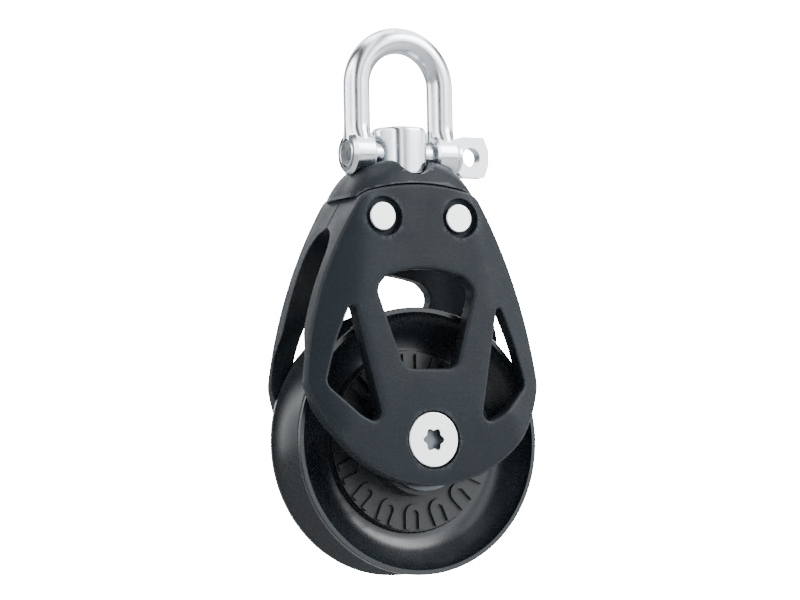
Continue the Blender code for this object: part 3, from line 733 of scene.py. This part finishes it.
def build_fasteners(metal, base):
    for label, side in (("front", -1), ("back", 1)):
        shape = turned([
            (0, SCREW_TIP_Y), (SCREW_SHANK_R - SCREW_TIP_CHAMFER, SCREW_TIP_Y),
            (SCREW_SHANK_R, SCREW_TIP_Y + 0.4), (SCREW_SHANK_R, SCREW_UNDER_HEAD),
            (SCREW_HEAD_R, SCREW_UNDER_HEAD), (SCREW_HEAD_R, SCREW_FACE - HEAD_CHAMFER),
            (SCREW_HEAD_R - HEAD_CHAMFER, SCREW_FACE), (0, SCREW_FACE),
        ], 30)
        shape.transform(Matrix.Scale(side, 4, (0, 1, 0)))
        screw = add_object(f"axle_screw_{label}", shape, metal, base)
        lobes = []
        for k in range(SOCKET_POINTS):
            a = 2 * math.pi * k / SOCKET_POINTS
            reach = SOCKET_R - SOCKET_LOBE + SOCKET_LOBE * math.cos(SOCKET_LOBES * a)
            lobes.append((reach * math.cos(a), reach * math.sin(a)))
        low, high = sorted((side * (SCREW_FACE - SOCKET_DEPTH), side * (SCREW_FACE + 1)))
        combine(screw, "DIFFERENCE", f"axle_screw_{label}_socket", prism(lobes, low, high))
        finished(screw, f"axle_screw_{label}", "block_frame", 0.08)
    for label, x in (("left", -RIVET_X), ("right", RIVET_X)):
        half = [
            (0, RIVET_FACE), (RIVET_HEAD_R - HEAD_CHAMFER, RIVET_FACE),
            (RIVET_HEAD_R, RIVET_FACE - HEAD_CHAMFER), (RIVET_HEAD_R, RIVET_UNDER_HEAD),
            (RIVET_SHANK_R, RIVET_UNDER_HEAD),
        ]
        profile = half + [(r, -y) for r, y in half[::-1]]
        rivet = add_object(f"head_rivet_{label}", turned(profile, 22), metal, base, (x, 0, RIVET_Z))
        finished(rivet, f"head_rivet_{label}", "block_frame", 0.08)


def bow_path():
    """Points along the bar's centre line, from the left ear over the crown to the right ear."""
    crown = HANG_ABOVE_AXLE + BAR_R - LEG_X
    legs = [PIN_Z + 0.5] + [PIN_Z + 3.0 + 0.6 * k for k in range(11)]
    left = [(-LEG_X, z) for z in legs]
    return left + arc((0, crown), LEG_X, 180, 0, 12) + [(-x, z) for x, z in left[::-1]]


def build_bow(steel, root):
    """A round bar bent over the crown, its legs widening into two eared ends."""
    shape = bmesh.new()
    path = bow_path()
    rings = []
    for k, (x, z) in enumerate(path):
        before = Vector(path[max(k - 1, 0)])
        after = Vector(path[min(k + 1, len(path) - 1)])
        along = (after - before).normalized()
        out = Vector((-along.y, along.x))
        near = min(1.0, max(0.0, (FLARE_TOP - (z - PIN_Z)) / FLARE_HEIGHT))
        deep = BAR_R + FLARE * near * near * (3 - 2 * near)
        ring = []
        for i in range(BAR_SIDES):
            a = 2 * math.pi * i / BAR_SIDES
            across = BAR_R * math.cos(a)
            ring.append(shape.verts.new((
                x + out.x * across, deep * math.sin(a), z + out.y * across - HANG_ABOVE_AXLE
            )))
        rings.append(ring)
    skin(shape, rings)
    bow = add_object("shackle_bow", shape, steel, root)
    pin_height = PIN_Z - HANG_ABOVE_AXLE
    for label, side in (("left", -1), ("right", 1)):
        ear = turned([
            (0, EAR_INNER_X), (EAR_R - 0.5, EAR_INNER_X), (EAR_R, EAR_INNER_X + 0.5),
            (EAR_R, EAR_OUTER_X - 0.8), (EAR_R - 0.8, EAR_OUTER_X), (0, EAR_OUTER_X),
        ], 32, "X")
        ear.transform(Matrix.Translation((0, 0, pin_height)) @ Matrix.Scale(side, 4, (1, 0, 0)))
        combine(bow, "UNION", f"shackle_ear_{label}", ear)
    hole = disc(PIN_R + PIN_GAP, -REACH, REACH, 32, "X")
    hole.transform(Matrix.Translation((0, 0, pin_height)))
    combine(bow, "DIFFERENCE", "shackle_pin_hole", hole)
    finished(bow, "shackle_bow", "shackle", 0.3)


def build_pin(steel, pin_axis):
    """The screw pin, with a collar and a flat tab that has a hole in it."""
    collar_end = PIN_COLLAR_X + PIN_COLLAR_WIDTH
    shape = turned([
        (0, -EAR_OUTER_X), (PIN_R - 0.3, -EAR_OUTER_X), (PIN_R, -EAR_OUTER_X + 0.3),
        (PIN_R, PIN_COLLAR_X), (PIN_COLLAR_R, PIN_COLLAR_X), (PIN_COLLAR_R, collar_end), (0, collar_end),
    ], 32, "X")
    pin = add_object("shackle_pin", shape, steel, pin_axis)
    lower = [
        (TAB_ROOT_X, -TAB_ROOT_HALF_HEIGHT, 0.5), (TAB_ROOT_X + TAB_SHOULDER, -TAB_HALF_HEIGHT, 1.5),
        (TAB_TIP_X - TAB_TIP_CUT, -TAB_HALF_HEIGHT, 0.6), (TAB_TIP_X, -TAB_TIP_HALF_HEIGHT, 3.0),
    ]
    tab = rounded_polygon(lower + [(x, -z, r) for x, z, r in lower[::-1]])
    combine(pin, "UNION", "shackle_pin_tab", prism(tab, -TAB_HALF_THICKNESS, TAB_HALF_THICKNESS))
    eye = disc(TAB_HOLE_R, -5, 5, 28)
    eye.transform(Matrix.Translation((TAB_HOLE_X, 0, 0)))
    combine(pin, "DIFFERENCE", "shackle_pin_eye", eye)
    finished(pin, "shackle_pin", "pin", 0.25)


def new_material(name, colour, roughness, metallic):
    """A Principled material and its nodes, with frame coordinates to build detail on."""
    material = bpy.data.materials.new(name)
    material.use_nodes = True
    nodes, links = material.node_tree.nodes, material.node_tree.links
    shader = nodes["Principled BSDF"]
    shader.inputs["Base Color"].default_value = (*colour, 1)
    shader.inputs["Roughness"].default_value = roughness
    shader.inputs["Metallic"].default_value = metallic
    coords = nodes.new("ShaderNodeTexCoord").outputs["Object"]
    return material, nodes, links, shader, coords


def noise(nodes, links, coords, size_mm, detail=4.0, stretch=(1, 1, 1)):
    """Noise whose features are about size_mm across."""
    mapping = nodes.new("ShaderNodeMapping")
    mapping.inputs["Scale"].default_value = stretch
    links.new(coords, mapping.inputs["Vector"])
    texture = nodes.new("ShaderNodeTexNoise")
    texture.inputs["Scale"].default_value = 1 / (size_mm * MM)
    texture.inputs["Detail"].default_value = detail
    links.new(mapping.outputs["Vector"], texture.inputs["Vector"])
    return texture.outputs["Fac"]


def ramp(nodes, links, source, low, high, first, last):
    """Maps source from low..high to the colours or greys first..last."""
    node = nodes.new("ShaderNodeValToRGB")
    node.color_ramp.elements[0].position = low
    node.color_ramp.elements[1].position = high
    node.color_ramp.elements[0].color = (*first, 1)
    node.color_ramp.elements[1].color = (*last, 1)
    links.new(source, node.inputs["Fac"])
    return node.outputs["Color"]


def noise_ramp(nodes, links, source, first, last):
    return ramp(nodes, links, source, *NOISE_SPAN, first, last)


def scaled(colour, factor):
    return [c * factor for c in colour]


def mix_colour(nodes, links, factor, first, second):
    """Mixes the first colour socket with a fixed second colour."""
    mix = nodes.new("ShaderNodeMix")
    mix.data_type = "RGBA"
    links.new(factor, mix.inputs["Factor"])
    links.new(first, mix.inputs["A"])
    mix.inputs["B"].default_value = second
    return mix.outputs["Result"]


def bump(nodes, links, shader, height, depth_mm, strength, under=None):
    """Raises the surface by up to depth_mm, on top of the bump under."""
    node = nodes.new("ShaderNodeBump")
    node.inputs["Distance"].default_value = depth_mm * MM
    node.inputs["Strength"].default_value = strength
    links.new(height, node.inputs["Height"])
    if under:
        links.new(under, node.inputs["Normal"])
    links.new(node.outputs["Normal"], shader.inputs["Normal"])
    return node.outputs["Normal"]


def grey(value):
    return (value, value, value)


def forged_material():
    """Dark anodised forging: a fine blasted grain, soft mottling and a painted highlight on the sharper edges.
    """
    material, nodes, links, shader, coords = new_material("forged_black", FORGED, 0.45, 0.0)
    shader.inputs["Specular IOR Level"].default_value = 0.12
    mottle = noise(nodes, links, coords, 14, 3)
    colour = noise_ramp(nodes, links, mottle, scaled(FORGED, 0.88), scaled(FORGED, 1.12))
    # Painted highlight: where the mesh is most pointed, on the sharper edges, the colour is mixed towards a
    # lighter grey
    edge_pointiness = nodes.new("ShaderNodeNewGeometry").outputs["Pointiness"]
    painted_edge_highlight = ramp(nodes, links, edge_pointiness, 0.515, 0.57, grey(0), grey(0.45))
    links.new(mix_colour(nodes, links, painted_edge_highlight, colour, FORGED_EDGE_HIGHLIGHT), shader.inputs["Base Color"])
    patches = noise(nodes, links, coords, 5, 4)
    links.new(noise_ramp(nodes, links, patches, grey(0.40), grey(0.52)), shader.inputs["Roughness"])
    bump(nodes, links, shader, noise(nodes, links, coords, 0.45, 3), 0.05, 1.0)
    return material


def sheave_material(name, colour, roughness):
    """Turned and hard-coated metal: faint rings about the axle and a little handling wear."""
    material, nodes, links, shader, coords = new_material(name, colour, roughness, 0.0)
    shader.inputs["Specular IOR Level"].default_value = 0.42
    mapping = nodes.new("ShaderNodeMapping")
    mapping.inputs["Location"].default_value = (0, 0, HANG_ABOVE_AXLE * MM)
    links.new(coords, mapping.inputs["Vector"])
    rings = nodes.new("ShaderNodeTexWave")
    rings.wave_type = "RINGS"
    rings.rings_direction = "Y"
    rings.inputs["Scale"].default_value = 700
    rings.inputs["Distortion"].default_value = 0.2
    rings.inputs["Detail"].default_value = 1
    links.new(mapping.outputs["Vector"], rings.inputs["Vector"])
    mottle = noise(nodes, links, coords, 9, 4)
    tint = noise_ramp(nodes, links, mottle, scaled(colour, 0.93), scaled(colour, 1.07))
    links.new(tint, shader.inputs["Base Color"])
    patches = noise(nodes, links, coords, 3, 4)
    spread = noise_ramp(nodes, links, patches, grey(roughness - 0.02), grey(roughness + 0.03))
    links.new(spread, shader.inputs["Roughness"])
    first = bump(nodes, links, shader, rings.outputs["Fac"], 0.002, 0.12)
    bump(nodes, links, shader, noise(nodes, links, coords, 0.3, 2), 0.004, 0.25, first)
    return material


def steel_material(name, colour, roughness, scratch_mm, stretch):
    """Bright metal with fine drawn scratches and small differences in polish."""
    material, nodes, links, shader, coords = new_material(name, colour, roughness, 1.0)
    scratches = noise(nodes, links, coords, scratch_mm, 6, stretch)
    cloud = noise(nodes, links, coords, 4, 4)
    spread = noise_ramp(nodes, links, cloud, grey(roughness * 0.8), grey(roughness * 1.3))
    links.new(spread, shader.inputs["Roughness"])
    tint = ramp(nodes, links, scratches, 0.35, 0.65, scaled(colour, 0.94), colour)
    links.new(tint, shader.inputs["Base Color"])
    bump(nodes, links, shader, scratches, 0.004, 0.15)
    return material


def paint_socket_shade(material):
    """Paints shade into the bright screws' colour inside the six-lobe sockets on the axle."""
    nodes, links = material.node_tree.nodes, material.node_tree.links
    shader = nodes["Principled BSDF"]
    split = nodes.new("ShaderNodeSeparateXYZ")
    links.new(nodes.new("ShaderNodeTexCoord").outputs["Object"], split.inputs["Vector"])

    def math_node(operation, first, second):
        node = nodes.new("ShaderNodeMath")
        node.operation = operation
        for socket, value in zip(node.inputs, (first, second)):
            if isinstance(value, float):
                socket.default_value = value
            elif value:
                links.new(value, socket)
        return node.outputs[0]

    height = math_node("ADD", split.outputs["Z"], HANG_ABOVE_AXLE * MM)
    squares = [math_node("MULTIPLY", v, v) for v in (split.outputs["X"], height)]
    radius = math_node("SQRT", math_node("ADD", *squares), None)
    near = math_node("LESS_THAN", radius, (SOCKET_R + 0.1) * MM)
    from_middle = math_node("ABSOLUTE", split.outputs["Y"], None)
    deep = math_node("LESS_THAN", from_middle, (SCREW_FACE - 0.12) * MM)
    in_socket = math_node("MULTIPLY", near, deep)
    tint = shader.inputs["Base Color"].links[0].from_socket
    # Painted shade: the socket's hollow is mixed towards a dark colour
    darkened = mix_colour(nodes, links, in_socket, tint, SOCKET_SHADE_COLOUR)
    links.new(darkened, shader.inputs["Base Color"])


def plastic_material(name, colour, roughness):
    """Moulded plastic with a faint cloudy tint and a fine moulded skin."""
    material, nodes, links, shader, coords = new_material(name, colour, roughness, 0.0)
    cloud = noise(nodes, links, coords, 2, 4)
    tint = noise_ramp(nodes, links, cloud, scaled(colour, 0.92), colour)
    links.new(tint, shader.inputs["Base Color"])
    bump(nodes, links, shader, noise(nodes, links, coords, 0.4, 3), 0.01, 0.4)
    return material


def make_camera():
    """The camera at the photo's angle, looking slightly up at the block."""
    azimuth, elevation, roll = (math.radians(a) for a in CAMERA_ANGLES)
    back = Vector((
        math.sin(azimuth) * math.cos(elevation), -math.cos(azimuth) * math.cos(elevation),
        math.sin(elevation),
    ))
    right = Vector((math.cos(azimuth), math.sin(azimuth), 0))
    up = back.cross(right)
    across = right * math.cos(roll) + up * math.sin(roll)
    above = up * math.cos(roll) - right * math.sin(roll)
    data = bpy.data.cameras.new("camera")
    data.sensor_width = SENSOR_MM
    data.lens = LENS_MM
    data.clip_start = 0.01
    camera = bpy.data.objects.new("camera", data)
    turn = Matrix((across, above, back)).transposed().to_4x4()
    place = Vector((0, 0, -HANG_ABOVE_AXLE * MM)) + back * CAMERA_DISTANCE
    place += across * CAMERA_AIM[0] + above * CAMERA_AIM[1]
    camera.matrix_world = Matrix.Translation(place) @ turn
    bpy.context.scene.collection.objects.link(camera)
    bpy.context.scene.camera = camera


def area_light(name, place, size, power):
    data = bpy.data.lights.new(name, "AREA")
    data.shape = "RECTANGLE"
    data.size, data.size_y = size
    data.energy = power
    light = bpy.data.objects.new(name, data)
    light.location = place
    light.rotation_euler = (Vector(LIGHT_AIM) - Vector(place)).to_track_quat("-Z", "Y").to_euler()
    bpy.context.scene.collection.objects.link(light)


def make_world():
    """White to the camera, a soft fill to matt surfaces and banded light to shiny ones."""
    world = bpy.data.worlds.new("studio")
    bpy.context.scene.world = world
    world.use_nodes = True
    nodes, links = world.node_tree.nodes, world.node_tree.links
    fill = nodes["Background"]
    fill.inputs["Color"].default_value = FILL_COLOUR
    fill.inputs["Strength"].default_value = FILL_STRENGTH
    backdrop = nodes.new("ShaderNodeBackground")
    backdrop.inputs["Strength"].default_value = BACKDROP_STRENGTH
    room = nodes.new("ShaderNodeBackground")
    room.inputs["Strength"].default_value = GLOSS_STRENGTH
    split = nodes.new("ShaderNodeSeparateXYZ")
    links.new(nodes.new("ShaderNodeTexCoord").outputs["Generated"], split.inputs["Vector"])
    place = nodes.new("ShaderNodeMapRange")
    place.inputs["From Min"].default_value = -1
    links.new(split.outputs["X"], place.inputs["Value"])
    bands = nodes.new("ShaderNodeValToRGB")
    while len(bands.color_ramp.elements) < len(ROOM_BANDS):
        bands.color_ramp.elements.new(0.5)
    for element, (position, level) in zip(bands.color_ramp.elements, ROOM_BANDS):
        element.position = position
        element.color = (*scaled(ROOM_TINT, level), 1)
    links.new(place.outputs["Result"], bands.inputs["Fac"])
    links.new(bands.outputs["Color"], room.inputs["Color"])
    path = nodes.new("ShaderNodeLightPath")
    shiny = nodes.new("ShaderNodeMixShader")
    links.new(path.outputs["Is Glossy Ray"], shiny.inputs["Fac"])
    links.new(fill.outputs["Background"], shiny.inputs[1])
    links.new(room.outputs["Background"], shiny.inputs[2])
    seen = nodes.new("ShaderNodeMixShader")
    links.new(path.outputs["Is Camera Ray"], seen.inputs["Fac"])
    links.new(shiny.outputs["Shader"], seen.inputs[1])
    links.new(backdrop.outputs["Background"], seen.inputs[2])
    links.new(seen.outputs["Shader"], nodes["World Output"].inputs["Surface"])


def make_floor():
    shape = bmesh.new()
    bmesh.ops.create_grid(shape, x_segments=1, y_segments=1, size=FLOOR_HALF)
    mesh = bpy.data.meshes.new("floor")
    shape.to_mesh(mesh)
    shape.free()
    floor = bpy.data.objects.new("floor", mesh)
    floor.location.z = FLOOR_Z
    mesh.materials.append(new_material("pale_floor", FLOOR, 0.6, 0.0)[0])
    bpy.context.scene.collection.objects.link(floor)


def main():
    forged = forged_material()
    sheave_black = sheave_material("sheave_black", SHEAVE, 0.27)
    retainer_black = sheave_material("retainer_black", RETAINER, 0.42)
    polished = steel_material("polished_steel", STEEL, 0.20, 0.3, (1, 1, 0.12))
    bright = steel_material("bright_screw", SCREW, 0.38, 0.25, (0.15, 1, 1))
    paint_socket_shade(bright)
    bearing = steel_material("bearing_steel", BEARING, 0.35, 0.3, (1, 1, 1))
    white = plastic_material("white_ball", BALL, 0.35)
    composite = plastic_material("sleeve_composite", COMPOSITE, 0.55)

    make_camera()
    make_world()
    for light in LIGHTS:
        area_light(*light)
    make_floor()

    axle = -HANG_ABOVE_AXLE
    pin = PIN_Z - HANG_ABOVE_AXLE
    build_bow(polished, 0)
    build_pin(polished, pin)
    build_post(polished, pin)
    build_head(forged, axle)
    build_cheek("front_cheek", -1, forged, axle)
    build_cheek("back_cheek", 1, forged, axle)
    build_fasteners(bright, axle)
    sheave = add_object("sheave", turned(sheave_profile(), SHEAVE_SEGMENTS), sheave_black, axle)
    finished(sheave, "sheave", "sheave_set", 0)
    build_retainer("ball_retainer_front", -1, retainer_black, axle)
    build_retainer("ball_retainer_back", 1, retainer_black, axle)

    for name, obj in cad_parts.items():
        if name.startswith("thrust_ball"):
            finish = white
        elif name == "sleeve_bushing":
            finish = composite
        elif name in ("axle_tube", "thrust_race_front", "thrust_race_back"):
            finish = bearing
        elif name in ("post_nut", "post_washer"):
            finish = polished
        else:
            continue
        obj.data.materials.clear()
        obj.data.materials.append(finish)


main()
